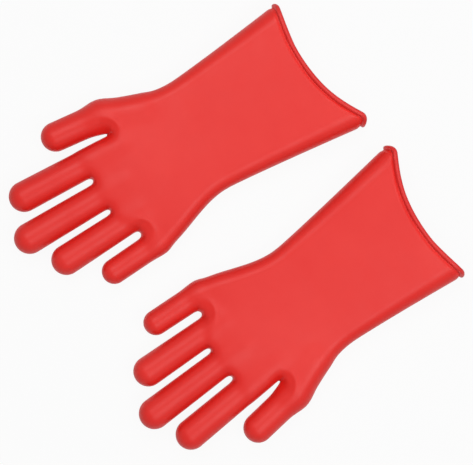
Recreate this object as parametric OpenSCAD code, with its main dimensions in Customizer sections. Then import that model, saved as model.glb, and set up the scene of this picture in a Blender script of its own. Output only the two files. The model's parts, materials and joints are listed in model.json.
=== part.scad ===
// A pair of electrical insulating gloves: seamless, thick moulded rubber, long cuffs, rolled rims.
// The pair lies palms up on a flat surface, the right glove on the +X side, fingers along +Y.
// Each glove is modelled once, as a right glove, in its own frame: the wrist crease is at y = 0,
// the thumb side is +X, the fingertips are +Y and the surface it lies on is z = 0.

/* [Rubber] */
// Thickness of the rubber wall
wall = 2.9; // [1.5:0.1:4]
// Diameter of the rolled bead around the cuff's rim
bead_d = 5.2; // [3.5:0.1:8]
// Clear gap between the cuff's end and the rolled rim
bead_gap = 0.3; // [0.2:0.05:0.5]

/* [Cuff] */
// Length from the wrist crease to the nearest point of the rim
cuff_length = 124; // [90:1:180]
// Width of the cuff at that length
cuff_w = 149; // [125:1:180]
// Height of the cuff at that length, lying flat
cuff_h = 38; // [30:1:60]
// How much further the rim runs on the little finger's side
rim_dip_little = 26; // [5:1:40]
// How much further the rim runs on the thumb's side
rim_dip_thumb = 6; // [2:1:20]

/* [Wrist and palm] */
// Width at the wrist crease
wrist_w = 123; // [110:1:140]
// Height at the wrist crease
wrist_h = 29; // [25:1:40]
// Width across the palm and the base of the thumb
palm_w = 169; // [155:1:180]
// Height of the palm
palm_h = 33; // [28:1:40]
// Length from the wrist crease to the web between the thumb and the index finger
thumb_web = 82; // [70:1:90]
// Length from the wrist crease to the web between the ring and the little finger
little_web = 105; // [98:1:112]
// Length from the wrist crease to the webs on both sides of the middle finger
finger_web = 120; // [114:1:130]

/* [Fingers] */
// Lengths of the index, middle, ring and little fingers, from the web to the tip
finger_lengths = [84, 100.5, 78.5, 54.5]; // [45:0.5:120]
// Diameters of those fingers at the web
root_diameters = [30, 29.6, 29.6, 26.4]; // [22:0.2:31]
// Diameters of those fingers at the tip's dome
tip_diameters = [31.6, 32.2, 31.2, 26]; // [22:0.2:33]
// Sideways places of those fingers at the web
root_places = [34.4, -2, -37.4, -72.2]; // [-76:0.2:40]
// Angles at which those fingers fan out towards the thumb
fan_angles = [1.8, -0.8, -3.2, -4.4]; // [-6:0.2:4]
// Length of the thumb from its web to its tip
thumb_length = 63.5; // [50:0.5:75]
// Diameter of the thumb at its web
thumb_root_d = 32.4; // [26:0.2:34]
// Diameter of the thumb at its tip's dome
thumb_tip_d = 30.4; // [24:0.2:33]
// Sideways place of the thumb at its web
thumb_place = 69.6; // [67:0.2:76]
// Angle at which the thumb fans out
thumb_fan = 5; // [0:0.5:8]

/* [Bending] */
// Distance from a finger's web to its knuckle's bending axis
knuckle_run = 11; // [9:0.5:14]
// Distance from the thumb's web to the bending axis of its base
thumb_run = 12; // [9:0.5:16]
// Greatest bend of the wrist
wrist_bend = 40; // [20:1:50]
// Greatest bends of a finger at its knuckle, its middle joint and its end joint
finger_bends = [60, 70, 45]; // [20:1:75]
// Greatest bends of the thumb at its base and its end joint
thumb_bends = [40, 50]; // [20:1:60]
// Depth of each bending axis below the palm side of the rubber
axis_depth = 7; // [5:0.5:9]
// Clear gap between the stiff zones on the two sides of a bending axis
flex_gap = 0.8; // [0.6:0.1:2]

/* [Pair] */
// Distance between the wrists of the two gloves
pair_pitch = 196.8; // [192:0.2:260]
// Angle at which each glove is turned outwards
splay = 4.07; // [0:0.1:6]
// Distance by which the right glove lies further along +Y
stagger = 6.1; // [0:0.1:20]

/* [Hidden] */

RUBBER = "#e8413c";
BEAD = "#d8332f";
INDEX = 0;
MIDDLE = 1;
RING = 2;
LITTLE = 3;
THUMB = 4;
DISTAL = 2;
FAR = 400;

// The wrist's width and the cuff's and palm's growth are shared a little unequally by the two sides.
wrist_thumb_share = 0.518;
cuff_thumb_share = 0.56;
palm_thumb_share = 0.49;
rim_high_x = 30;
little_corner_x = -62;
thumb_corner_x = 73;
corner_run = 9;
corner_pull = 8;
rim_power_little = 2.4;
rim_power_thumb = 1.45;
flare_power = 1.15;
palm_growth_start = 5;
block_back = 6;
web_edge = 4;
stub_back = 9;
tuck = 0.7;
finger_lift = 0.4;
wrist_reach = 80;
root_reach = 60;
thumb_base_y = 40;
thumb_base_x = 25;
slice_step = 12;
slice_thickness = 0.3;
section_corner = 0.47;
mouth_run = 1.5;
corner_steps = 7;
flat_steps = 9;
bead_steps = 10;
slope_step = 1;
rim_step = 1.25;
dome_steps = 9;
curve_steps = 28;

// Shares of the length beyond the first bending axis at which a finger's axes lie.
finger_axis_shares = [0, 0.38, 0.69];
thumb_axis_shares = [0, 0.48];

// The pair's ends along +Y are the middle fingertip and the rim's corner, once the splay turns them.
function turned_y(x, y) = y * cos(splay) - x * sin(splay);
pair_top = stagger / 2 + turned_y(root_places[MIDDLE], finger_web + finger_lengths[MIDDLE]);
pair_bottom = -stagger / 2
    + turned_y(little_corner_x, -cuff_length - rim_dip_little - bead_d / 2);
base_y = -(pair_top + pair_bottom) / 2;

// One row per finger: web x, web y, fan angle, length, web diameter, tip diameter, bends,
// axis shares and the first axis's distance from the web.
function finger_row(i) = i == THUMB
    ? [thumb_place, thumb_web, thumb_fan, thumb_length, thumb_root_d, thumb_tip_d,
       thumb_bends, thumb_axis_shares, thumb_run]
    : [root_places[i], i == LITTLE ? little_web : finger_web, fan_angles[i], finger_lengths[i],
       root_diameters[i], tip_diameters[i], finger_bends, finger_axis_shares, knuckle_run];
function finger_axis_z(row) = max(row[4], row[5]) / 2 + finger_lift;
function hinge_y(row, k) = row[8] + row[7][k] * (row[3] - row[8]);
function hinge_z(row) = row[4] / 2 - axis_depth;
function finger_radius(row, y) = (row[4] + (row[5] - row[4]) * y / (row[3] - row[5] / 2)) / 2;

// Edges and height of the hand and cuff across the wrist crease, each a function of y.
function ease(t) = let(u = min(max(t, 0), 1)) u * u * (3 - 2 * u);
function flare(y) = pow(max(-y, 0) / cuff_length, flare_power);
function swell(y) = ease((y - palm_growth_start) / thumb_web);
function little_edge(y) =
    -wrist_w * (1 - wrist_thumb_share)
    - (cuff_w - wrist_w) * (1 - cuff_thumb_share) * flare(y)
    - (palm_w - wrist_w) * (1 - palm_thumb_share) * swell(y);
function thumb_edge(y) =
    wrist_w * wrist_thumb_share
    + (cuff_w - wrist_w) * cuff_thumb_share * flare(y)
    + (palm_w - wrist_w) * palm_thumb_share * swell(y);
function height(y) =
    wrist_h + (cuff_h - wrist_h) * flare(y) + (palm_h - wrist_h) * swell(y);

// Line of the rim seen from above: a long concave curve whose two corners are pulled back.
function rim_y(x) =
    -cuff_length
    - rim_dip_little * pow(max(0, rim_high_x - x) / (rim_high_x - little_corner_x), rim_power_little)
    - rim_dip_thumb * pow(max(0, x - rim_high_x) / (thumb_corner_x - rim_high_x), rim_power_thumb)
    + corner_pull * pow(max(0, little_corner_x - x) / corner_run, 2)
    + corner_pull * pow(max(0, x - thumb_corner_x) / corner_run, 2);

// Line where the cuff ends: clear of the rolled rim all along, also where the rim runs aslant.
function cuff_end_y(x) =
    let(slope = (rim_y(x + slope_step) - rim_y(x - slope_step)) / (2 * slope_step))
    rim_y(x) + (bead_d / 2 + bead_gap) * norm([1, slope]);

function arc(cx, cz, r, start) =
    [for (k = [0:corner_steps - 1])
        let(a = start + 90 * k / (corner_steps - 1)) [cx + r * cos(a), cz + r * sin(a)]];
function flat(x_from, x_to, z) =
    [for (k = [1:flat_steps]) [x_from + (x_to - x_from) * k / (flat_steps + 1), z]];

// Outline of a cross-section: flat faces joined by almost half-round sides, all inset alike.
function section(y, inset) = rounded(little_edge(y), thumb_edge(y), height(y), inset);
function rounded(x_from, x_to, top, inset) =
    let(x0 = x_from + inset, x1 = x_to - inset,
        z0 = inset, z1 = top - inset, r = (z1 - z0) * section_corner)
    concat(arc(x1 - r, z1 - r, r, 0), flat(x1 - r, x0 + r, z1),
           arc(x0 + r, z1 - r, r, 90), arc(x0 + r, z0 + r, r, 180),
           flat(x0 + r, x1 - r, z0), arc(x1 - r, z0 + r, r, 270));

module slice(y, inset) {
    translate([0, y, 0])
        rotate([90, 0, 0])
            linear_extrude(slice_thickness)
                polygon(section(y, inset));
}

// Smooth body between two stations, hulled from slice to slice.
module loft(y_from, y_to, inset) {
    count = ceil((y_to - y_from) / slice_step);
    for (k = [0:count - 1]) {
        hull() {
            slice(y_from + (y_to - y_from) * k / count, inset);
            slice(y_from + (y_to - y_from) * (k + 1) / count, inset);
        }
    }
}

// Frame of one finger: its web centre becomes the origin and its length runs along +Y.
module at_finger(row) {
    translate([row[0], row[1], finger_axis_z(row)])
        rotate([0, 0, -row[2]])
            children();
}

module along_y() {
    rotate([-90, 0, 0]) children();
}

// Space taken away before (side = -1) or behind (side = 1) a bending axis: flat below the axis,
// and leaning back by half the bend above it.
module flex_cut(bend, side, reach) {
    lean = tan(bend / 2) * reach;
    rotate([90, 0, 90])
        linear_extrude(FAR, center = true)
            polygon([
                [-side * flex_gap / 2, -reach], [-side * flex_gap / 2, 0],
                [-side * (flex_gap / 2 + lean), reach],
                [side * reach, reach], [side * reach, -reach]
            ]);
}

// Finger shape as a turned profile, inset by the given distance, from y_from to its dome.
module finger_form(row, y_from, inset) {
    r_tip = row[5] / 2;
    dome_y = row[3] - r_tip;
    along_y()
        rotate_extrude()
            polygon(concat(
                [[0, y_from], [finger_radius(row, y_from) - inset, y_from]],
                [for (k = [0:dome_steps])
                    let(a = 90 * k / dome_steps)
                    [(r_tip - inset) * cos(a), dome_y + (r_tip - inset) * sin(a)]]
            ));
}

// One stiff zone of a finger or thumb, between bending axis k and the next one or the tip.
module finger_zone(row, k) {
    last = k == len(row[7]) - 1;
    start = hinge_y(row, k);
    reach = row[3];
    at_finger(row)
        difference() {
            finger_form(row, start - axis_depth, 0);
            finger_form(row, start - axis_depth - 1, wall);
            translate([0, start, hinge_z(row)])
                flex_cut(row[6][k], -1, reach);
            if (!last)
                translate([0, hinge_y(row, k + 1), hinge_z(row)])
                    flex_cut(row[6][k + 1], 1, reach);
        }
}

// Stub of a finger that belongs to the palm, from behind the web up to the bending axis.
module root_stub(row, back, front, inset) {
    at_finger(row)
        translate([0, -back, 0])
            along_y()
                cylinder(h = back + front, r = row[4] / 2 - inset, $fn = curve_steps);
}

// Part of the hand's cross-section at y, between two sideways places.
module hand_slice(y, x_from, x_to, inset) {
    translate([0, y, 0])
        rotate([90, 0, 0])
            linear_extrude(slice_thickness)
                polygon(rounded(x_from, x_to, height(y), inset));
}

// The palm: the lofted hand, the block that carries the four fingers' webs, the base of the thumb
// and the stubs of all five fingers.
module palm_form(inset) {
    block_y = thumb_web - block_back;
    tucked = inset + tuck;
    thumb = finger_row(THUMB);
    loft(inset > 0 ? -2 * mouth_run : -mouth_run, thumb_web - inset, inset);
    hull() {
        hand_slice(block_y, little_edge(block_y), root_places[INDEX] + root_diameters[INDEX] / 2, tucked);
        for (i = [INDEX:LITTLE]) root_stub(finger_row(i), web_edge, -inset, tucked);
    }
    hull() {
        hand_slice(thumb_base_y, thumb_base_x, thumb_edge(thumb_base_y), tucked);
        root_stub(thumb, web_edge, 0, tucked);
    }
    for (i = [INDEX:THUMB]) {
        row = finger_row(i);
        root_stub(row, stub_back, hinge_y(row, 0) + (inset > 0 ? axis_depth : 0), inset);
    }
}

module palm() {
    difference() {
        palm_form(0);
        palm_form(wall);
        translate([0, 0, wrist_h - axis_depth])
            flex_cut(wrist_bend, -1, wrist_reach);
        for (i = [INDEX:THUMB]) {
            row = finger_row(i);
            at_finger(row)
                translate([0, hinge_y(row, 0), hinge_z(row)])
                    intersection() {
                        flex_cut(row[6][0], 1, root_reach);
                        cube([row[4] + 2, FAR, FAR], center = true);
                    }
        }
    }
}

module gauntlet() {
    back = -cuff_length - rim_dip_little - bead_d * 2;
    difference() {
        loft(back, mouth_run, 0);
        loft(back - mouth_run, 2 * mouth_run, wall);
        translate([0, 0, -1])
            linear_extrude(FAR)
                polygon(concat(
                    [for (x = [-FAR / 4:rim_step:FAR / 4]) [x, min(cuff_end_y(x), 0)]],
                    [[FAR / 4, back - FAR], [-FAR / 4, back - FAR]]
                ));
        translate([0, 0, wrist_h - axis_depth])
            flex_cut(wrist_bend, 1, wrist_reach);
    }
}

// Point k of the rim, in the middle of the rubber wall; the second pass uses the rim's own y.
function rim_point(k) =
    let(first = section(-cuff_length, wall / 2)[k],
        second = section(rim_y(first.x), wall / 2)[k])
    [second.x, rim_y(second.x), second.y];
function rim_normal(k, count) =
    let(after = rim_point((k + 1) % count), before = rim_point((k + count - 1) % count),
        d = [after.x - before.x, after.z - before.z], size = norm(d))
    [d.y / size, 0, -d.x / size];

// The rolled rim: a round bead carried along the rim's closed line.
module cuff_bead() {
    count = 4 * corner_steps + 2 * flat_steps;
    lift = bead_d / 2 - wall / 2;
    points = [for (k = [0:count - 1])
        let(p = rim_point(k), n = rim_normal(k, count))
        for (j = [0:bead_steps - 1])
            let(a = 360 * j / bead_steps)
            p + bead_d / 2 * (cos(a) * n + sin(a) * [0, 1, 0]) + [0, 0, lift]];
    faces = [for (k = [0:count - 1])
        for (j = [0:bead_steps - 1])
            let(k2 = (k + 1) % count, j2 = (j + 1) % bead_steps)
            [k * bead_steps + j, k * bead_steps + j2, k2 * bead_steps + j2, k2 * bead_steps + j]];
    polyhedron(points, faces, convexity = 6);
}

module place_glove(step) {
    translate([pair_pitch / 2, step + base_y, 0])
        rotate([0, 0, -splay])
            children();
}

module right_glove() {
    place_glove(stagger / 2) children();
}

module left_glove() {
    mirror([1, 0, 0]) place_glove(-stagger / 2) children();
}

module left_cuff_bead() { color(BEAD) left_glove() cuff_bead(); }
module left_gauntlet() { color(RUBBER) left_glove() gauntlet(); }
module left_palm() { color(RUBBER) left_glove() palm(); }
module left_zone(finger, k) { color(RUBBER) left_glove() finger_zone(finger_row(finger), k); }
module left_thumb_proximal() { left_zone(THUMB, 0); }
module left_thumb_distal() { left_zone(THUMB, 1); }
module left_index_proximal() { left_zone(INDEX, 0); }
module left_index_middle() { left_zone(INDEX, 1); }
module left_index_distal() { left_zone(INDEX, DISTAL); }
module left_middle_proximal() { left_zone(MIDDLE, 0); }
module left_middle_middle() { left_zone(MIDDLE, 1); }
module left_middle_distal() { left_zone(MIDDLE, DISTAL); }
module left_ring_proximal() { left_zone(RING, 0); }
module left_ring_middle() { left_zone(RING, 1); }
module left_ring_distal() { left_zone(RING, DISTAL); }
module left_little_proximal() { left_zone(LITTLE, 0); }
module left_little_middle() { left_zone(LITTLE, 1); }
module left_little_distal() { left_zone(LITTLE, DISTAL); }

module right_cuff_bead() { color(BEAD) right_glove() cuff_bead(); }
module right_gauntlet() { color(RUBBER) right_glove() gauntlet(); }
module right_palm() { color(RUBBER) right_glove() palm(); }
module right_zone(finger, k) { color(RUBBER) right_glove() finger_zone(finger_row(finger), k); }
module right_thumb_proximal() { right_zone(THUMB, 0); }
module right_thumb_distal() { right_zone(THUMB, 1); }
module right_index_proximal() { right_zone(INDEX, 0); }
module right_index_middle() { right_zone(INDEX, 1); }
module right_index_distal() { right_zone(INDEX, DISTAL); }
module right_middle_proximal() { right_zone(MIDDLE, 0); }
module right_middle_middle() { right_zone(MIDDLE, 1); }
module right_middle_distal() { right_zone(MIDDLE, DISTAL); }
module right_ring_proximal() { right_zone(RING, 0); }
module right_ring_middle() { right_zone(RING, 1); }
module right_ring_distal() { right_zone(RING, DISTAL); }
module right_little_proximal() { right_zone(LITTLE, 0); }
module right_little_middle() { right_zone(LITTLE, 1); }
module right_little_distal() { right_zone(LITTLE, DISTAL); }

left_cuff_bead();
left_gauntlet();
left_palm();
left_thumb_proximal();
left_thumb_distal();
left_index_proximal();
left_index_middle();
left_index_distal();
left_middle_proximal();
left_middle_middle();
left_middle_distal();
left_ring_proximal();
left_ring_middle();
left_ring_distal();
left_little_proximal();
left_little_middle();
left_little_distal();
right_cuff_bead();
right_gauntlet();
right_palm();
right_thumb_proximal();
right_thumb_distal();
right_index_proximal();
right_index_middle();
right_index_distal();
right_middle_proximal();
right_middle_middle();
right_middle_distal();
right_ring_proximal();
right_ring_middle();
right_ring_distal();
right_little_proximal();
right_little_middle();
right_little_distal();
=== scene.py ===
"""A pair of electrical insulating gloves in thick red moulded rubber, lying palms up.

A glove is one seamless skin. A signed field in the glove's own frame tells how far a point lies
outside the rubber; a net of vertices is laid on the field's zero level for the outer face and on
the level one wall thickness deeper for the inner face. The net is cut where the rubber stays stiff,
between the joints' axes, and the rolled bead is swept along the rim.
In a glove's own frame the wrist crease is at y = 0, +x is the thumb's side, +y the fingertips'.
All lengths are metres.
"""

from __future__ import annotations

import json
import logging
import math
from dataclasses import dataclass, field
from enum import Enum
from typing import Callable, Sequence

import bmesh
import bpy
import numpy as np
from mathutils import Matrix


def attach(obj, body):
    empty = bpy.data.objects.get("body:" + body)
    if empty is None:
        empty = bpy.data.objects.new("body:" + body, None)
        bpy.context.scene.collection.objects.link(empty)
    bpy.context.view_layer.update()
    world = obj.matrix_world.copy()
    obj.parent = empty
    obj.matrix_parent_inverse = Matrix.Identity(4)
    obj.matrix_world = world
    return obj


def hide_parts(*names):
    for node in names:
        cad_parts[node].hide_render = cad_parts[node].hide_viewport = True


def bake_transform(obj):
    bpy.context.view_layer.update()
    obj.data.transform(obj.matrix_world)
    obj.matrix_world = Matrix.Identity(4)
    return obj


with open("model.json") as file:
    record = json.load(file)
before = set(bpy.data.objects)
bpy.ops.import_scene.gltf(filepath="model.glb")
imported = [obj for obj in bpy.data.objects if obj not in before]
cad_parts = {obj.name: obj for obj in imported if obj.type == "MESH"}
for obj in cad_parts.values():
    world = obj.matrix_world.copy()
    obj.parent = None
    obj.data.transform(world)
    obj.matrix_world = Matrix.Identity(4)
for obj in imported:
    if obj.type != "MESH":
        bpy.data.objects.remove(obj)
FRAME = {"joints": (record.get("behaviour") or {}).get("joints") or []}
LOG = logging.getLogger("gloves")
Field = Callable[[np.ndarray], np.ndarray]
WHITE = (1.0, 1.0, 1.0, 1.0)
RIM_COLOR = (0.74, 0.024, 0.021)
RIM_BLOOM = (0.78, 0.032, 0.028)


class Side(Enum):
    """The two gloves of the pair; the value is the row's X direction of the thumb."""

    LEFT = -1
    RIGHT = 1

    @property
    def prefix(self) -> str:
        """Start of the names of this glove's bodies and nodes."""
        return self.name.lower() + "_"


class Slot(Enum):
    """The record's material slots."""

    BODY = "rubber"
    RIM = "rolled_rim"


@dataclass(frozen=True)
class DigitSizes:
    """Shape of one finger or the thumb.

    Args:
        name: The digit's name in the names of nodes.
        web: Its centre at the web, as x and y in the glove's frame.
        fan: Angle in degrees by which it leans towards the thumb.
        length: Distance from the web to the tip.
        root_radius: Radius at the web.
        tip_radius: Radius of the dome at the tip.
        joints: Names of its joints, from the palm outwards.
        zones: Names of its stiff zones, from the palm outwards.
        first_axis: Distance from the web to the first bending axis.
        axis_shares: Shares of the length beyond the first axis at which the axes lie.
        buried: Length of the cone that goes on below the web, inside the palm.
        web_cut: Distance from the web at which the first piece's skin begins.
    """

    name: str
    web: tuple[float, float]
    fan: float
    length: float
    root_radius: float
    tip_radius: float
    joints: tuple[str, ...] = ("knuckle_flex", "middle_flex", "end_flex")
    zones: tuple[str, ...] = ("proximal", "middle", "distal")
    first_axis: float = 0.011
    axis_shares: tuple[float, ...] = (0.0, 0.38, 0.69)
    buried: float = 0.030
    web_cut: float = 0.003

    @property
    def direction(self) -> np.ndarray:
        """Unit vector along the digit, in the plane of the palm."""
        angle = math.radians(self.fan)
        return np.array([math.sin(angle), math.cos(angle), 0.0])

    @property
    def axis_height(self) -> float:
        """Height of the digit's centre line above the surface it lies on."""
        return max(self.root_radius, self.tip_radius) + 0.0004

    @property
    def web_centre(self) -> np.ndarray:
        """Centre of the digit's section at the web."""
        return np.array([self.web[0], self.web[1], self.axis_height])

    @property
    def runs(self) -> list[float]:
        """Distances from the web to the bending axes."""
        beyond = self.length - self.first_axis
        return [self.first_axis + share * beyond for share in self.axis_shares]

    @property
    def cuts(self) -> list[float]:
        """Distances from the web to the skin's cuts: near the web and half-way between two axes."""
        return [self.web_cut] + [(a + b) / 2.0 for a, b in zip(self.runs, self.runs[1:])]

    def along(self, points: np.ndarray) -> np.ndarray:
        """Distance of each point from the web, measured along the digit."""
        return (points - self.web_centre) @ self.direction

    def distance(self, points: np.ndarray) -> np.ndarray:
        """Distance from the digit's skin: a cone with a round tip.

        The nearest place on the centre line is found by clamping the projection to the line from
        the buried end to the dome's centre, and the radius there is taken off the distance to it.

        Args:
            points: Points of the glove's frame, one row each.

        Returns:
            The distances, negative inside.
        """
        run = self.length - self.tip_radius
        along = np.clip(self.along(points), -self.buried, run)
        radius = self.root_radius + (self.tip_radius - self.root_radius) * along / run
        nearest = self.web_centre + along[:, None] * self.direction
        return np.linalg.norm(points - nearest, axis=1) - radius


def soft_min(a: np.ndarray, b: np.ndarray, reach: float) -> np.ndarray:
    """Smaller of two distances, rounded where they are close.

    The cube of one less the difference over the reach, times a sixth of the reach, is taken off.

    Args:
        a: One distance a point.
        b: The other distance.
        reach: Difference from which there is no rounding.

    Returns:
        The blended distance.
    """
    blend = np.clip(reach - np.abs(a - b), 0.0, None) / reach
    return np.minimum(a, b) - blend**3 * reach / 6.0


def soft_max(a: np.ndarray, b: np.ndarray, reach: float) -> np.ndarray:
    """Larger of two distances, rounded where they differ by less than reach."""
    return -soft_min(-a, -b, reach)


def ease(t: np.ndarray) -> np.ndarray:
    """Smooth step from 0 to 1: three times the square less twice the cube."""
    u = np.clip(t, 0.0, 1.0)
    return u * u * (3.0 - 2.0 * u)


@dataclass(frozen=True)
class WebFold:
    """A shallow hollow at the foot of a web with a low crescent fold on its thumb's side.

    Args:
        web: End of the slot between two digits, as x and y in the glove's frame.
        radius: Distance of the crescent's crest from the web.
        width: Half-width of the crest.
        height: Height of the crest.
        hollow: Depth of the hollow.
        aim: Direction of the crescent's middle from the web, in degrees from +x.
        spread: Half-angle of the crescent, in degrees.
    """

    web: tuple[float, float]
    radius: float = 0.0155
    width: float = 0.0030
    height: float = 0.0011
    hollow: float = 0.0020
    aim: float = -60.0
    spread: float = 52.0

    def rise(self, x: np.ndarray, y: np.ndarray) -> np.ndarray:
        """Height that the fold adds at x and y.

        The crest falls off with the square of the distance from its circle and of the angle from
        its aim. The hollow is deepest at the web and eases out to nothing at the same circle.

        Args:
            x: Places across the hand.
            y: Places along the hand.

        Returns:
            The rise, negative in the hollow.
        """
        across, along = x - self.web[0], y - self.web[1]
        away = np.hypot(across, along)
        turn = (np.degrees(np.arctan2(along, across)) - self.aim) / self.spread
        crest = self.height * np.exp(-(((away - self.radius) / self.width) ** 2) - turn**2)
        return crest - self.hollow * ease(1.0 - away / self.radius)


@dataclass(frozen=True)
class GloveShape:
    """Sizes of one glove and the field that they make."""

    wall: float = 0.0029
    cuff_length: float = 0.124
    cuff_width: float = 0.149
    cuff_height: float = 0.038
    rim_dip_little: float = 0.026
    rim_dip_thumb: float = 0.006
    wrist_width: float = 0.123
    wrist_height: float = 0.029
    palm_width: float = 0.169
    palm_height: float = 0.033
    wrist_shares: tuple[float, float] = (0.482, 0.518)
    cuff_shares: tuple[float, float] = (0.44, 0.56)
    palm_shares: tuple[float, float] = (0.53, 0.46)
    flare_power: float = 1.15
    rim_powers: tuple[float, float] = (2.4, 1.45)
    palm_start: float = 0.005
    little_swell: float = 0.094
    thumb_swell: float = 0.095
    thumb_web: float = 0.082
    little_web: float = 0.105
    finger_web: float = 0.120
    thumb_base: tuple[float, float] = (0.0535, 0.040)
    thumb_base_radius: float = 0.0150
    thumb_base_growth: float = 0.0004
    thumb_base_drop: float = 0.001
    rim_high_x: float = 0.030
    little_corner_x: float = -0.062
    thumb_corner_x: float = 0.073
    corner_run: float = 0.009
    corner_pull: float = 0.008
    section_corner: float = 0.47
    root_blend: float = 0.009
    thumb_blend: float = 0.012
    thumb_web_inset: float = 0.0030
    flank_inset: float = 0.0030
    front_round: float = 0.018
    web_inset: float = 0.0015
    web_change: float = 0.010
    root_slope: float = 0.0016
    root_slope_y: float = 0.062
    slope_run: float = 0.058
    little_slope: float = 0.0042
    little_slope_x: float = -0.030
    little_slope_y: float = 0.045
    little_slope_width: float = 0.045
    sole_blend: float = 0.0016
    fold_start: float = 0.4
    neck_place: float = 0.0026
    neck_width: float = 0.0023
    neck_depth: float = 0.0013
    folds: tuple[WebFold, ...] = (WebFold((-0.0550, 0.1040)), WebFold((0.0510, 0.0835)))
    digits: tuple[DigitSizes, ...] = field(
        default_factory=lambda: (
            DigitSizes("index", (0.0344, 0.120), 1.8, 0.084, 0.0150, 0.0158, buried=0.045),
            DigitSizes("middle", (-0.002, 0.120), -0.8, 0.1005, 0.0148, 0.0161),
            DigitSizes("ring", (-0.0374, 0.120), -3.2, 0.0785, 0.0148, 0.0156),
            DigitSizes("little", (-0.0722, 0.105), -4.4, 0.0545, 0.0132, 0.0130, buried=0.012),
            DigitSizes(
                "thumb",
                (0.0688, 0.082),
                5.7,
                0.0635,
                0.0154,
                0.0152,
                joints=("base_flex", "tip_flex"),
                zones=("proximal", "distal"),
                first_axis=0.012,
                axis_shares=(0.0, 0.48),
                buried=0.004,
            ),
        )
    )

    @property
    def thumb(self) -> DigitSizes:
        """The thumb's sizes."""
        return self.digits[-1]

    def flare(self, y: np.ndarray) -> np.ndarray:
        """Share of the cuff's growth reached at y: a power of the distance from the wrist."""
        return (np.clip(-y, 0.0, None) / self.cuff_length) ** self.flare_power

    def swell(self, y: np.ndarray, run: float) -> np.ndarray:
        """Share of the palm's growth reached at y, where it takes the given run."""
        return ease((y - self.palm_start) / run)

    def edges(self, y: np.ndarray) -> tuple[np.ndarray, np.ndarray]:
        """Side edges of hand and cuff: the wrist's half plus shares of both growths.

        Args:
            y: Places along the hand.

        Returns:
            The x of the little finger's edge and of the thumb's edge.
        """
        swells = (self.swell(y, self.little_swell), self.swell(y, self.thumb_swell))
        cuff = (self.cuff_width - self.wrist_width) * self.flare(y)
        palm = self.palm_width - self.wrist_width
        little, thumb = (
            wrist_share * self.wrist_width + cuff_share * cuff + palm_share * palm * swell
            for wrist_share, cuff_share, palm_share, swell in zip(
                self.wrist_shares, self.cuff_shares, self.palm_shares, swells
            )
        )
        return -little, thumb

    def height(self, x: np.ndarray, y: np.ndarray) -> np.ndarray:
        """Height of hand and cuff: the wrist's, plus both growths, less two eased slopes.

        The palm slopes down a little to the finger roots, and more to the little finger's edge.

        Args:
            x: Places across the hand.
            y: Places along the hand.

        Returns:
            The heights above the surface that the glove lies on.
        """
        cuff = (self.cuff_height - self.wrist_height) * self.flare(y)
        palm = (self.palm_height - self.wrist_height) * self.swell(y, self.thumb_swell)
        slope = self.root_slope * ease((y - self.root_slope_y) / self.slope_run)
        beside = ease((self.little_slope_x - x) / self.little_slope_width)
        beside = beside * ease((y - self.little_slope_y) / self.slope_run)
        return self.wrist_height + cuff + palm - slope - self.little_slope * beside

    def rim(self, x: np.ndarray) -> np.ndarray:
        """Line of the rim: a concave curve of two powers whose corners are pulled back.

        Args:
            x: Places across the cuff.

        Returns:
            The rim's y.
        """
        little = np.clip(self.rim_high_x - x, 0.0, None) / (self.rim_high_x - self.little_corner_x)
        thumb = np.clip(x - self.rim_high_x, 0.0, None) / (self.thumb_corner_x - self.rim_high_x)
        past_little = np.clip(self.little_corner_x - x, 0.0, None) / self.corner_run
        past_thumb = np.clip(x - self.thumb_corner_x, 0.0, None) / self.corner_run
        return (
            -self.cuff_length
            - self.rim_dip_little * little ** self.rim_powers[0]
            - self.rim_dip_thumb * thumb ** self.rim_powers[1]
            + self.corner_pull * (past_little**2 + past_thumb**2)
        )

    def hand(self, points: np.ndarray) -> np.ndarray:
        """Distance from hand and cuff without digits: flat faces, well rounded sides, softer front.

        The distances to the sides and to the flat faces are joined as in a box with rounded edges,
        whose radius is a share of the height. The front then cuts that body off with a round edge.

        Args:
            points: Points of the glove's frame, one row each.

        Returns:
            The distances, negative inside.
        """
        x, y, z = points.T
        low, high = self.edges(y)
        half = self.height(x, y) / 2.0
        radius = 2.0 * half * self.section_corner
        across = np.maximum(low - x, x - high) + radius
        up = np.abs(z - half) - (half - radius)
        outside = np.hypot(np.clip(across, 0.0, None), np.clip(up, 0.0, None))
        body = outside + np.clip(np.maximum(across, up), None, 0.0) - radius
        return soft_max(body, self.ahead(x, y), self.front_round)

    def ahead(self, x: np.ndarray, y: np.ndarray) -> np.ndarray:
        """Distance beyond the front of the hand, seen from above.

        The front runs between the fingers' webs as far as the index finger's flank, and level with
        the thumb's web beyond it.

        Args:
            x: Places across the hand.
            y: Places along the hand.

        Returns:
            The distances, negative behind the front.
        """
        index, _, ring, _, _ = self.digits
        lean = math.tan(math.radians(index.fan)) * (y - index.web[1])
        flank = index.web[0] + index.root_radius - self.flank_inset + lean
        places = (ring.web[0] - self.web_change, ring.web[0] + self.web_change)
        webs = np.interp(x, places, (self.little_web, self.finger_web))
        block = soft_max(y - webs + self.web_inset, x - flank, self.root_blend)
        return soft_min(y - self.thumb_web + self.thumb_web_inset, block, self.root_blend)

    def thumb_root(self, points: np.ndarray) -> np.ndarray:
        """Distance from the base of the thumb: a round cone from inside the palm to its web.

        Args:
            points: Points of the glove's frame, one row each.

        Returns:
            The distances, negative inside.
        """
        tip = self.thumb.web_centre
        base = np.array([*self.thumb_base, tip[2] - self.thumb_base_drop])
        line = tip - base
        share = np.clip((points - base) @ line / (line @ line), 0.0, 1.0)
        radius = self.thumb_base_radius + self.thumb_base_growth * share
        return np.linalg.norm(points - base - share[:, None] * line, axis=1) - radius

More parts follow.
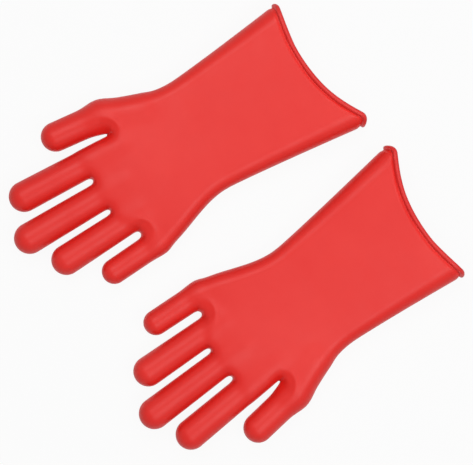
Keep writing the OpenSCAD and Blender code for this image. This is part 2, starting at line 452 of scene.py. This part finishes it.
    def level(self, points: np.ndarray) -> np.ndarray:
        """Signed field of the whole glove: negative in the rubber and in its hollow.

        Digits and hand are joined by rounded minima. The folds' rise, on the upper side only, is
        taken off, a bell-shaped neck behind the bead is added, and the sole is cut flat at z = 0.

        Args:
            points: Points of the glove's frame, one row each.

        Returns:
            The field's values.
        """
        x, y, z = points.T
        fingers = np.min([digit.distance(points) for digit in self.digits[:-1]], axis=0)
        thumb = self.thumb.distance(points)
        thumb = soft_min(thumb, self.thumb_root(points), self.thumb_blend)
        hand = self.hand(points)
        thumb_part = soft_min(hand, thumb, self.thumb_blend)
        glove = np.minimum(thumb_part, soft_min(hand, fingers, self.root_blend))
        upper = ease(z / self.wrist_height - self.fold_start)
        for fold in self.folds:
            glove = glove - upper * fold.rise(x, y)
        neck = (y - self.rim(x) - self.neck_place) / self.neck_width
        glove = glove + self.neck_depth * np.exp(-(neck**2))
        return soft_max(glove, -z, self.sole_blend)


@dataclass
class Net:
    """A triangle net in a glove's own frame.

    Args:
        points: Vertices, one row each.
        faces: Vertex numbers of the triangles.
        normals: Outward direction at each vertex.
    """

    points: np.ndarray
    faces: np.ndarray
    normals: np.ndarray | None = None

    def joined(self, other: "Net") -> "Net":
        """Both nets as one."""
        return Net(
            np.vstack([self.points, other.points]),
            np.vstack([self.faces, other.faces + len(self.points)]),
            np.vstack([self.normals, other.normals]),
        )

    def part(self, chosen: np.ndarray) -> "Net":
        """Takes the chosen triangles with only the vertices that they use.

        Args:
            chosen: True for each triangle that is taken.

        Returns:
            The part.
        """
        faces = self.faces[chosen]
        used, renumbered = np.unique(faces, return_inverse=True)
        return Net(self.points[used], renumbered.reshape(faces.shape), self.normals[used])

    def split(self, values: np.ndarray, region: np.ndarray) -> "Net":
        """Adds vertices where values change sign, so that no triangle in the region straddles zero.

        Each crossed edge gets one vertex at the straight-line zero of its two values. A crossed
        triangle has one corner alone on its side, and becomes three triangles round the two new
        vertices.

        Args:
            values: One value a vertex; none may be exactly zero.
            region: True for each triangle that may be cut.

        Returns:
            The refined net.
        """
        positive = values > 0.0
        corners = positive[self.faces]
        count = corners.sum(axis=1)
        crossed = region & (count > 0) & (count < 3)
        faces, corners, count = self.faces[crossed], corners[crossed], count[crossed]
        alone = np.where(count == 1, corners.argmax(axis=1), (~corners).argmax(axis=1))
        turn = (alone[:, None] + np.arange(3)) % 3
        a, b, c = np.take_along_axis(faces, turn, axis=1).T
        pairs = np.sort(np.vstack([np.column_stack([a, b]), np.column_stack([a, c])]), axis=1)
        edges, number = np.unique(pairs, axis=0, return_inverse=True)
        first, second = edges.T
        share = values[first] / (values[first] - values[second])
        added = self.points[first] + share[:, None] * (self.points[second] - self.points[first])
        number = number.reshape(2, -1) + len(self.points)
        p, q = number
        new_faces = np.vstack(
            [np.column_stack([a, p, q]), np.column_stack([p, b, c]), np.column_stack([p, c, q])]
        )
        return Net(np.vstack([self.points, added]), np.vstack([self.faces[~crossed], new_faces]))


@dataclass(frozen=True)
class NetMaker:
    """Lays a net on a level of a field.

    Args:
        low: Lowest corner of the box that holds the surface.
        high: Highest corner of that box.
        step: Size of a grid cell.
    """

    low: tuple[float, float, float]
    high: tuple[float, float, float]
    step: float = 0.0015

    def sample(self, level: Field) -> np.ndarray:
        """Reads the field at all grid points.

        Args:
            level: The field.

        Returns:
            The values, as a block of three dimensions.
        """
        axes = [np.arange(a, b, self.step) for a, b in zip(self.low, self.high)]
        grid = np.stack(np.meshgrid(*axes, indexing="ij"), axis=-1)
        return level(grid.reshape(-1, 3)).reshape(grid.shape[:3])

    def net(self, values: np.ndarray) -> Net:
        """One vertex in each cell that the surface crosses, four neighbours joined at each edge.

        A cell's vertex is the mean of the zero crossings on its twelve edges. Each grid edge with a
        change of sign gives a quadrilateral between the four cells round it, cut in two triangles.

        Args:
            values: The field's values at all grid points.

        Returns:
            The net.
        """
        inside = values < 0.0
        cells = tuple(n - 1 for n in values.shape)
        total = np.zeros(cells + (3,))
        hits = np.zeros(cells)
        for axis in range(3):
            for u in (0, 1):
                for v in (0, 1):
                    start = np.insert(np.array([u, v]), axis, 0)
                    end = start + np.eye(3, dtype=int)[axis]
                    a = values[tuple(slice(s, s + n) for s, n in zip(start, cells))]
                    b = values[tuple(slice(s, s + n) for s, n in zip(end, cells))]
                    crossed = (a < 0.0) != (b < 0.0)
                    share = np.where(crossed, a / np.where(crossed, a - b, 1.0), 0.0)
                    total += crossed[..., None] * (start + share[..., None] * (end - start))
                    hits += crossed
        active = hits > 0
        number = np.full(cells, -1)
        number[active] = np.arange(active.sum())
        place = np.argwhere(active) + total[active] / hits[active][:, None]
        points = np.array(self.low) + place * self.step
        quads = np.vstack([self._quads(inside, number, axis) for axis in range(3)])
        faces = np.vstack([quads[:, [0, 1, 2]], quads[:, [0, 2, 3]]])
        return Net(points, faces)

    @staticmethod
    def _quads(inside: np.ndarray, number: np.ndarray, axis: int) -> np.ndarray:
        """Quadrilaterals round the grid edges along one axis, turned to face outwards.

        Args:
            inside: True at each grid point inside the surface.
            number: Vertex number of each cell.
            axis: The axis, 0 to 2.

        Returns:
            Vertex numbers, four a row.
        """
        order = np.roll(np.arange(3), -axis)
        block = inside.transpose(order)
        cells = number.transpose(order)
        here, there = block[:-1, 1:-1, 1:-1], block[1:, 1:-1, 1:-1]
        ring = [cells[:, :-1, :-1], cells[:, 1:, :-1], cells[:, 1:, 1:], cells[:, :-1, 1:]]
        outward = here & ~there
        inward = ~here & there
        rows = np.stack(ring, axis=-1)
        return np.vstack([rows[outward], rows[inward][:, ::-1]])


def gradient(level: Field, points: np.ndarray, reach: float = 0.0002) -> np.ndarray:
    """Slope of the field at each point, from differences over a short reach each way.

    Args:
        level: The field.
        points: Points of the glove's frame, one row each.
        reach: Distance to each side at which the field is read.

    Returns:
        The slopes, one row a point.
    """
    shifts = np.eye(3) * reach
    return np.column_stack(
        [(level(points + s) - level(points - s)) / (2.0 * reach) for s in shifts]
    )


def settle(level: Field, net: Net, depth: float, rounds: int = 4) -> Net:
    """Moves the vertices on to the level: each round goes down the slope by value over slope.

    Args:
        level: The field.
        net: The net that is moved.
        depth: Depth of the wanted level below zero.
        rounds: Number of moves.

    Returns:
        The moved net.
    """
    points = net.points
    for _ in range(rounds):
        slope = gradient(level, points)
        value = level(points) + depth
        points = points - (value / (slope**2).sum(axis=1))[:, None] * slope
    return Net(points, net.faces)


@dataclass(frozen=True)
class RubberFinish:
    """Satin moulded rubber: an even colour with faint clouds, fine pores and slow waves."""

    name: str = "red_rubber"
    color: tuple[float, float, float] = (0.80, 0.019, 0.014)
    bloom: tuple[float, float, float] = (0.83, 0.027, 0.020)
    specular: float = 0.35
    roughness_low: float = 0.38
    roughness_high: float = 0.46
    cloud_noise: tuple[float, float] = (18.0, 5.0)
    cloud_range: tuple[float, float] = (0.35, 0.75)
    patch_noise: tuple[float, float] = (60.0, 4.0)
    patch_range: tuple[float, float] = (0.3, 0.7)
    wave_noise: tuple[float, float] = (16.0, 2.0)
    wave_depth: float = 0.0008
    wave_strength: float = 0.6
    pore_noise: tuple[float, float] = (1400.0, 3.0)
    pore_depth: float = 0.00003
    pore_strength: float = 0.5

    def build(self) -> bpy.types.Material:
        """Makes the material from noise on Object coordinates.

        Returns:
            The material.
        """
        material = bpy.data.materials.new(self.name)
        material.use_nodes = True
        tree = material.node_tree
        nodes, links = tree.nodes, tree.links
        shader = nodes["Principled BSDF"]
        shader.inputs["Specular IOR Level"].default_value = self.specular
        shader.inputs["IOR"].default_value = 1.5
        place = nodes.new("ShaderNodeTexCoord").outputs["Object"]

        clouds = self._noise(tree, place, *self.cloud_noise)
        mix = nodes.new("ShaderNodeMix")
        mix.data_type = "RGBA"
        mix.inputs["A"].default_value = (*self.color, 1.0)
        mix.inputs["B"].default_value = (*self.bloom, 1.0)
        links.new(self._range(tree, clouds, self.cloud_range, (0.0, 1.0)), mix.inputs["Factor"])
        links.new(mix.outputs["Result"], shader.inputs["Base Color"])

        patches = self._noise(tree, place, *self.patch_noise)
        roughness = (self.roughness_low, self.roughness_high)
        rough = self._range(tree, patches, self.patch_range, roughness)
        links.new(rough, shader.inputs["Roughness"])

        normal = None
        for noise, depth, strength in (
            (self.wave_noise, self.wave_depth, self.wave_strength),
            (self.pore_noise, self.pore_depth, self.pore_strength),
        ):
            bump = nodes.new("ShaderNodeBump")
            bump.inputs["Distance"].default_value = depth
            bump.inputs["Strength"].default_value = strength
            links.new(self._noise(tree, place, *noise), bump.inputs["Height"])
            if normal:
                links.new(normal, bump.inputs["Normal"])
            normal = bump.outputs["Normal"]
        links.new(normal, shader.inputs["Normal"])
        return material

    @staticmethod
    def _noise(
        tree: bpy.types.NodeTree, place: bpy.types.NodeSocket, scale: float, detail: float
    ) -> bpy.types.NodeSocket:
        """Adds a noise texture.

        Args:
            tree: The node tree to add to.
            place: Coordinates that the noise is read at.
            scale: Size of the noise, in cells per metre.
            detail: Number of finer octaves.

        Returns:
            The noise's output.
        """
        noise = tree.nodes.new("ShaderNodeTexNoise")
        noise.inputs["Scale"].default_value = scale
        noise.inputs["Detail"].default_value = detail
        tree.links.new(place, noise.inputs["Vector"])
        return noise.outputs["Fac"]

    @staticmethod
    def _range(
        tree: bpy.types.NodeTree,
        value: bpy.types.NodeSocket,
        source: tuple[float, float],
        target: tuple[float, float],
    ) -> bpy.types.NodeSocket:
        """Adds a node that maps one range of values to another, clamped.

        Args:
            tree: The node tree to add to.
            value: The value that is mapped.
            source: Ends of the range that is read.
            target: Ends of the range that is written.

        Returns:
            The mapped value's output.
        """
        spread = tree.nodes.new("ShaderNodeMapRange")
        names = ("From Min", "From Max", "To Min", "To Max")
        for name, number in zip(names, (*source, *target)):
            spread.inputs[name].default_value = number
        tree.links.new(value, spread.inputs["Value"])
        return spread.outputs["Result"]


@dataclass(frozen=True)
class BeadSizes:
    """The rolled rim: a round bead whose rolled edge leaves a shallow groove on the cuff's side."""

    radius: float = 0.0026
    lift: float = 0.00115
    around: int = 28
    stations: int = 420
    groove: float = 0.16
    groove_angle: float = 1.15
    groove_width: float = 0.30
    unevenness: float = 0.035


class GloveForm:
    """The nets of one glove in its own frame, made once and placed twice."""

    BOX_LOW = (-0.097, -0.166, -0.004)
    BOX_HIGH = (0.099, 0.227, 0.048)
    FINGER_ZONE = 0.001
    RIM_PASSES = 4
    WAVES = ((3.0, 0.1), (7.0, 0.4))

    def __init__(self, shape: GloveShape, bead: BeadSizes) -> None:
        """Builds all nets.

        Args:
            shape: The glove's sizes and field.
            bead: The rolled rim's sizes.
        """
        self.shape = shape
        maker = NetMaker(self.BOX_LOW, self.BOX_HIGH)
        values = maker.sample(shape.level)
        outer = settle(shape.level, maker.net(values), 0.0)
        inner = settle(shape.level, maker.net(values + shape.wall), shape.wall)
        inner.faces = inner.faces[:, ::-1]
        self.parts = self._cut(outer, 1.0)
        for name, net in self._cut(inner, -1.0).items():
            self.parts[name] = self.parts[name].joined(net)
        self.parts["cuff_bead"] = self._sweep_bead(bead)

    def _nearest_digit(self, points: np.ndarray) -> np.ndarray:
        """Number of the digit whose skin is nearest to each point."""
        return np.argmin([digit.distance(points) for digit in self.shape.digits], axis=0)

    def _cut(self, net: Net, outward: float) -> dict[str, Net]:
        """Cuts a net at the rim and across the digits, and names its parts.

        Args:
            net: The whole net.
            outward: 1 for the outer face, -1 for the inner one, whose normals point inwards.

        Returns:
            The parts by name.
        """
        everywhere = np.ones(len(net.faces), bool)
        before_rim = net.points[:, 1] - self.shape.rim(net.points[:, 0])
        net = net.split(self._off_zero(before_rim), everywhere)
        for number, digit in enumerate(self.shape.digits):
            for cut in digit.cuts:
                near = self._nearest_digit(net.points) == number
                beyond = digit.along(net.points) > self.FINGER_ZONE
                region = (near & beyond)[net.faces].all(axis=1)
                net = net.split(self._off_zero(digit.along(net.points) - cut), region)
        net.normals = gradient(self.shape.level, net.points) * outward
        net.normals /= np.linalg.norm(net.normals, axis=1)[:, None]

        middle = net.points[net.faces].mean(axis=1)
        kept = middle[:, 1] > self.shape.rim(middle[:, 0])
        owner = self._nearest_digit(middle)
        parts = {}
        taken = ~kept
        for number, digit in enumerate(self.shape.digits):
            along = digit.along(middle)
            limits = digit.cuts + [math.inf]
            for zone, low, high in zip(digit.zones, limits, limits[1:]):
                chosen = (owner == number) & (along > low) & (along < high) & ~taken
                parts[f"{digit.name}_{zone}"] = net.part(chosen)
                taken |= chosen
        parts["hand"] = net.part(~taken)
        return parts

    @staticmethod
    def _off_zero(values: np.ndarray) -> np.ndarray:
        """Values nudged off exact zero, which the cut can't sort."""
        return np.where(np.abs(values) < 1e-9, 1e-9, values)

    def _sweep_bead(self, bead: BeadSizes) -> Net:
        """Carries the bead's profile along the closed rim.

        The rim's line runs round the cuff's section at half the wall's depth; its y follows the
        rim curve. The profile is a circle with a shallow groove, and stands square to the line.

        Args:
            bead: The rolled rim's sizes.

        Returns:
            The bead's closed net.
        """
        turn = np.linspace(0.0, 1.0, bead.stations, endpoint=False)
        path = self._rim_path(turn)
        ahead = np.roll(path, -1, axis=0) - np.roll(path, 1, axis=0)
        tangent = ahead / np.linalg.norm(ahead, axis=1)[:, None]
        out = np.column_stack([ahead[:, 2], np.zeros(len(turn)), -ahead[:, 0]])
        out /= np.linalg.norm(out, axis=1)[:, None]
        forward = np.cross(out, tangent)
        forward *= np.sign(forward[:, 1])[:, None]
        angle = np.linspace(0.0, 2.0 * math.pi, bead.around, endpoint=False)
        groove = bead.groove * np.exp(-(((angle - bead.groove_angle) / bead.groove_width) ** 2))
        waves = sum(np.sin(2.0 * math.pi * (count * turn + start)) for count, start in self.WAVES)
        radius = bead.radius * (1.0 + bead.unevenness * waves[:, None]) * (1.0 - groove[None, :])
        centre = path + np.array([0.0, 0.0, bead.lift])
        points = (
            centre[:, None, :]
            + (radius * np.cos(angle))[..., None] * out[:, None, :]
            + (radius * np.sin(angle))[..., None] * forward[:, None, :]
        )
        return self._tube(points)

    def _rim_path(self, turn: np.ndarray) -> np.ndarray:
        """Points of the rim's line at shares of a whole turn round the section.

        The section is walked at the rim's own y, found in a few passes, because the cuff's width
        there depends on y and y depends on the place across.

        Args:
            turn: Shares of a whole turn.

        Returns:
            The points, one row each.
        """
        y = np.full(len(turn), -self.shape.cuff_length)
        for _ in range(self.RIM_PASSES):
            little, thumb = self.shape.edges(y)
            half = self.shape.height(np.zeros_like(y), y) / 2.0
            inset = self.shape.wall / 2.0
            radius = 2.0 * half * self.shape.section_corner - inset
            flat = (thumb - little) / 2.0 - inset - radius
            rise = half - inset - radius
            x, z = self._rounded_box(turn, flat, rise, radius)
            x = x + (little + thumb) / 2.0
            z = z + half
            y = self.shape.rim(x)
        return np.column_stack([x, y, z])

    @staticmethod
    def _rounded_box(
        turn: np.ndarray, flat: np.ndarray, rise: np.ndarray, radius: np.ndarray
    ) -> tuple[np.ndarray, np.ndarray]:
        """Point of a rounded box's outline at each share of its length, from the right side up.

        A quarter of the outline is a short upright, a quarter circle and a long flat; the other
        quarters mirror it.

        Args:
            turn: Shares of a whole turn.
            flat: Half-length of the long flat.
            rise: Half-length of the upright.
            radius: Radius of the corners.

        Returns:
            The points' places across and upwards from the middle.
        """
        arc = radius * math.pi / 2.0
        quarter = rise + arc + flat
        way = turn * 4.0
        number = np.floor(way).astype(int)
        share = way - number
        share = np.where(number % 2 == 0, share, 1.0 - share) * quarter
        angle = np.clip(share - rise, 0.0, arc) / radius
        x = flat + radius * np.cos(angle) - np.clip(share - rise - arc, 0.0, None)
        z = np.clip(share, None, rise) + radius * np.sin(angle)
        x = np.where((number == 1) | (number == 2), -x, x)
        z = np.where(number >= 2, -z, z)
        return x, z

    @staticmethod
    def _tube(points: np.ndarray) -> Net:
        """Closed net over a block of rings, with normals from the two ring directions.

        Args:
            points: Points by ring, by step round the ring and by coordinate.

        Returns:
            The net, facing outwards.
        """
        rings, around = points.shape[:2]
        along = np.roll(points, -1, axis=0) - np.roll(points, 1, axis=0)
        across = np.roll(points, -1, axis=1) - np.roll(points, 1, axis=1)
        normals = np.cross(across, along).reshape(-1, 3)
        centre = points.mean(axis=1, keepdims=True)
        outward = ((points - centre).reshape(-1, 3) * normals).sum(axis=1)
        sign = 1.0 if outward.sum() > 0.0 else -1.0
        normals *= sign / np.linalg.norm(normals, axis=1)[:, None]
        ring, step = np.meshgrid(np.arange(rings), np.arange(around), indexing="ij")
        next_ring, next_step = (ring + 1) % rings, (step + 1) % around
        a, b = ring * around + step, ring * around + next_step
        c, d = next_ring * around + next_step, next_ring * around + step
        quads = np.stack([a, b, c, d], axis=-1).reshape(-1, 4)
        faces = np.vstack([quads[:, [0, 1, 2]], quads[:, [0, 2, 3]]])
        if sign < 0.0:
            faces = faces[:, ::-1]
        return Net(points.reshape(-1, 3), faces, normals)


class Glove:
    """One glove of the pair: places the nets, dresses them and ties the bead to its body."""

    WRIST_REACH = 0.028
    BEND_REACH = 0.012

    def __init__(
        self, side: Side, form: GloveForm, finishes: dict[Slot, bpy.types.Material]
    ) -> None:
        """Reads the glove's place from its wrist joint.

        Args:
            side: Which glove of the pair.
            form: The nets in the glove's own frame.
            finishes: The material of each slot.
        """
        self.side = side
        self.form = form
        self.finishes = finishes
        self.joints = {j["name"]: j for j in FRAME["joints"]}
        wrist = self.joints[side.prefix + "wrist_flex"]
        axis = np.array(wrist["axis"])
        self.origin = np.array([wrist["pos_m"][0], wrist["pos_m"][1], 0.0])
        self.axes = np.array([axis * side.value, np.cross([0.0, 0.0, 1.0], axis), [0.0, 0.0, 1.0]])

    def place(self, vectors: np.ndarray) -> np.ndarray:
        """Directions of the glove's frame turned into the row's frame."""
        return vectors @ self.axes

    def build(self) -> list[bpy.types.Object]:
        """Makes every piece of this glove and ties the bead to the gauntlet's body.

        Returns:
            The pieces.
        """
        prefix = self.side.prefix
        parts = self.form.parts
        hand = self._piece("hand_skin", parts["hand"], (prefix + "gauntlet", prefix + "palm"))
        self._bend(hand)
        bead = self._piece("rolled_rim", parts["cuff_bead"], (prefix + "cuff_bead",), Slot.RIM)
        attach(bead, prefix + "gauntlet")
        pieces = [hand, bead]
        for digit in self.form.shape.digits:
            pieces += self._digit(digit)
        return pieces

    def _digit(self, digit: DigitSizes) -> list[bpy.types.Object]:
        """Pieces of one finger's or the thumb's skin, one for each stiff zone.

        Args:
            digit: The digit's sizes.

        Returns:
            The pieces, from the palm outwards.
        """
        pieces = []
        for number, (joint, zone) in enumerate(zip(digit.joints, digit.zones)):
            name = f"{digit.name}_{zone}"
            node = self.side.prefix + name
            piece = self._piece(name + "_skin", self.form.parts[name], (node,))
            self._bend(piece)
            pieces.append(piece)
        return pieces

    def _bend(self, piece: bpy.types.Object) -> None:
        """Bakes a piece's placement into its mesh; it adds no bend.

        Args:
            piece: The piece whose placement is baked.
        """
        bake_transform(piece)

    def _piece(
        self, name: str, net: Net, nodes: Sequence[str], slot: Slot = Slot.BODY
    ) -> bpy.types.Object:
        """Makes an object of a net in the row's frame, with the net's own normals.

        Args:
            name: The piece's name without the side.
            net: The net in the glove's frame.
            nodes: The CAD nodes that it stands for.
            slot: The finish's slot.

        Returns:
            The object.
        """
        faces = net.faces if self.side is Side.RIGHT else net.faces[:, ::-1]
        mesh = bpy.data.meshes.new(self.side.prefix + name)
        mesh.from_pydata(self.place(net.points) + self.origin, [], faces.tolist())
        self._close(mesh)
        mesh.shade_smooth()
        mesh.normals_split_custom_set_from_vertices(self.place(net.normals))
        mesh.materials.append(self.finishes[slot])
        piece = bpy.data.objects.new(mesh.name, mesh)
        bpy.context.scene.collection.objects.link(piece)
        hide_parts(*nodes)
        return piece

    @staticmethod
    def _close(mesh: bpy.types.Mesh) -> None:
        """Joins the open edges of the outer and inner face at each cut by a ring of faces.

        Args:
            mesh: The mesh whose nearest open loops are joined in pairs.
        """
        work = bmesh.new()
        work.from_mesh(mesh)
        open_edges = [edge for edge in work.edges if edge.is_boundary]
        loops = Glove._loops(open_edges)
        centres = [np.mean([v.co for e in loop for v in e.verts], axis=0) for loop in loops]
        waiting = list(range(len(loops)))
        while len(waiting) > 1:
            first = waiting.pop(0)
            gaps = [np.linalg.norm(centres[first] - centres[k]) for k in waiting]
            second = waiting.pop(int(np.argmin(gaps)))
            bmesh.ops.bridge_loops(work, edges=loops[first] + loops[second])
        work.normal_update()
        work.to_mesh(mesh)
        work.free()

    @staticmethod
    def _loops(edges: list[bmesh.types.BMEdge]) -> list[list[bmesh.types.BMEdge]]:
        """Sorts open edges into closed loops by walking from each edge to its neighbours.

        Args:
            edges: The open edges of one mesh.

        Returns:
            The loops.
        """
        left = dict.fromkeys(edges)
        loops = []
        while left:
            loop = [next(iter(left))]
            del left[loop[0]]
            for edge in loop:
                for near in (e for vertex in edge.verts for e in vertex.link_edges):
                    if near in left:
                        del left[near]
                        loop.append(near)
            loops.append(loop)
        return loops


@dataclass(frozen=True)
class Studio:
    """Camera, floor and lights: a view from straight above on pure white."""

    view_width: float = 0.4825
    view_turn: float = -123.87
    view_centre: tuple[float, float, float] = (-0.0030, -0.0075, 0.018)
    lens: float = 120.0
    sensor: float = 36.0
    lamp_across: float = 0.62
    lamp_back: float = -0.30
    lamp_height: float = 1.35
    lamp_size: tuple[float, float] = (0.8, 1.5)
    lamp_power: float = 10.4
    world_strength: float = 0.22
    floor_size: float = 40.0
    floor_glow: float = 0.93
    floor_color: tuple[float, float, float] = (0.62, 0.62, 0.62)

    def build(self) -> None:
        """Makes the camera, the surround, the floor and the lamps."""
        self._camera()
        self._world()
        self._floor()
        self._lights()

    def _camera(self) -> None:
        """Camera straight above, far enough for its lens to take in the view's width."""
        data = bpy.data.cameras.new("camera")
        data.lens = self.lens
        data.sensor_width = self.sensor
        camera = bpy.data.objects.new("camera", data)
        bpy.context.scene.collection.objects.link(camera)
        distance = self.view_width * self.lens / self.sensor
        x, y, z = self.view_centre
        camera.location = (x, y, z + distance)
        camera.rotation_euler = (0.0, 0.0, math.radians(self.view_turn))
        bpy.context.scene.camera = camera

    def _world(self) -> None:
        """White surround: full white to the camera and to gloss, softer as a light."""
        world = bpy.data.worlds.new("surround")
        bpy.context.scene.world = world
        world.use_nodes = True
        nodes, links = world.node_tree.nodes, world.node_tree.links
        background = nodes["Background"]
        background.inputs["Color"].default_value = WHITE
        strength = nodes.new("ShaderNodeMapRange")
        strength.inputs["To Min"].default_value = self.world_strength
        strength.inputs["To Max"].default_value = 1.0
        links.new(self._shown(world.node_tree), strength.inputs["Value"])
        links.new(strength.outputs["Result"], background.inputs["Strength"])

    @staticmethod
    def _shown(tree: bpy.types.NodeTree) -> bpy.types.NodeSocket:
        """Makes the nodes that tell rays that show a surface from rays that light one.

        Args:
            tree: The node tree to add to.

        Returns:
            A value that is 1 for camera, glossy and transmission rays and 0 for all others.
        """
        path = tree.nodes.new("ShaderNodeLightPath")
        shown = path.outputs["Is Camera Ray"]
        for name in ("Is Glossy Ray", "Is Transmission Ray"):
            either = tree.nodes.new("ShaderNodeMath")
            either.operation = "MAXIMUM"
            tree.links.new(shown, either.inputs[0])
            tree.links.new(path.outputs[name], either.inputs[1])
            shown = either.outputs["Value"]
        return shown

    def _floor(self) -> None:
        """Pale floor that shows as white and keeps a faint contact shadow."""
        half = self.floor_size / 2.0
        mesh = bpy.data.meshes.new("floor")
        corners = [(-half, -half, 0.0), (half, -half, 0.0), (half, half, 0.0), (-half, half, 0.0)]
        mesh.from_pydata(corners, [], [(0, 1, 2, 3)])
        floor = bpy.data.objects.new("floor", mesh)
        bpy.context.scene.collection.objects.link(floor)
        material = bpy.data.materials.new("pale_floor")
        material.use_nodes = True
        nodes, links = material.node_tree.nodes, material.node_tree.links
        matt = nodes["Principled BSDF"]
        matt.inputs["Base Color"].default_value = (*self.floor_color, 1.0)
        matt.inputs["Roughness"].default_value = 0.9
        glow = nodes.new("ShaderNodeEmission")
        glow.inputs["Color"].default_value = WHITE
        share = nodes.new("ShaderNodeMath")
        share.operation = "MULTIPLY"
        share.inputs[1].default_value = self.floor_glow
        mix = nodes.new("ShaderNodeMixShader")
        links.new(self._shown(material.node_tree), share.inputs[0])
        links.new(share.outputs["Value"], mix.inputs["Fac"])
        links.new(matt.outputs["BSDF"], mix.inputs[1])
        links.new(glow.outputs["Emission"], mix.inputs[2])
        links.new(mix.outputs["Shader"], nodes["Material Output"].inputs["Surface"])
        mesh.materials.append(material)

    def _lights(self) -> None:
        """Two long soft lamps, one on each side of the pair, aimed at its middle."""
        for side in Side:
            data = bpy.data.lights.new("softbox", "AREA")
            data.shape = "RECTANGLE"
            data.size, data.size_y = self.lamp_size
            data.energy = self.lamp_power
            lamp = bpy.data.objects.new("softbox", data)
            lamp.location = (side.value * self.lamp_across, self.lamp_back, self.lamp_height)
            tilt = math.atan2(self.lamp_across, self.lamp_height)
            lamp.rotation_euler = (0.0, side.value * tilt, 0.0)
            bpy.context.scene.collection.objects.link(lamp)


def main() -> None:
    """Builds the studio and both gloves, and reports every piece."""
    logging.basicConfig(level=logging.INFO, format="%(name)s: %(message)s")
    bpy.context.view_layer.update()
    bpy.context.scene.view_settings.view_transform = "Standard"
    Studio().build()
    form = GloveForm(GloveShape(), BeadSizes())
    finishes = {
        Slot.BODY: RubberFinish().build(),
        Slot.RIM: RubberFinish("rolled_edge", RIM_COLOR, RIM_BLOOM).build(),
    }
    for side in Side:
        for piece in Glove(side, form, finishes).build():
            LOG.info("%s: %d triangles", piece.name, len(piece.data.polygons))


if __name__ == "__main__":
    main()
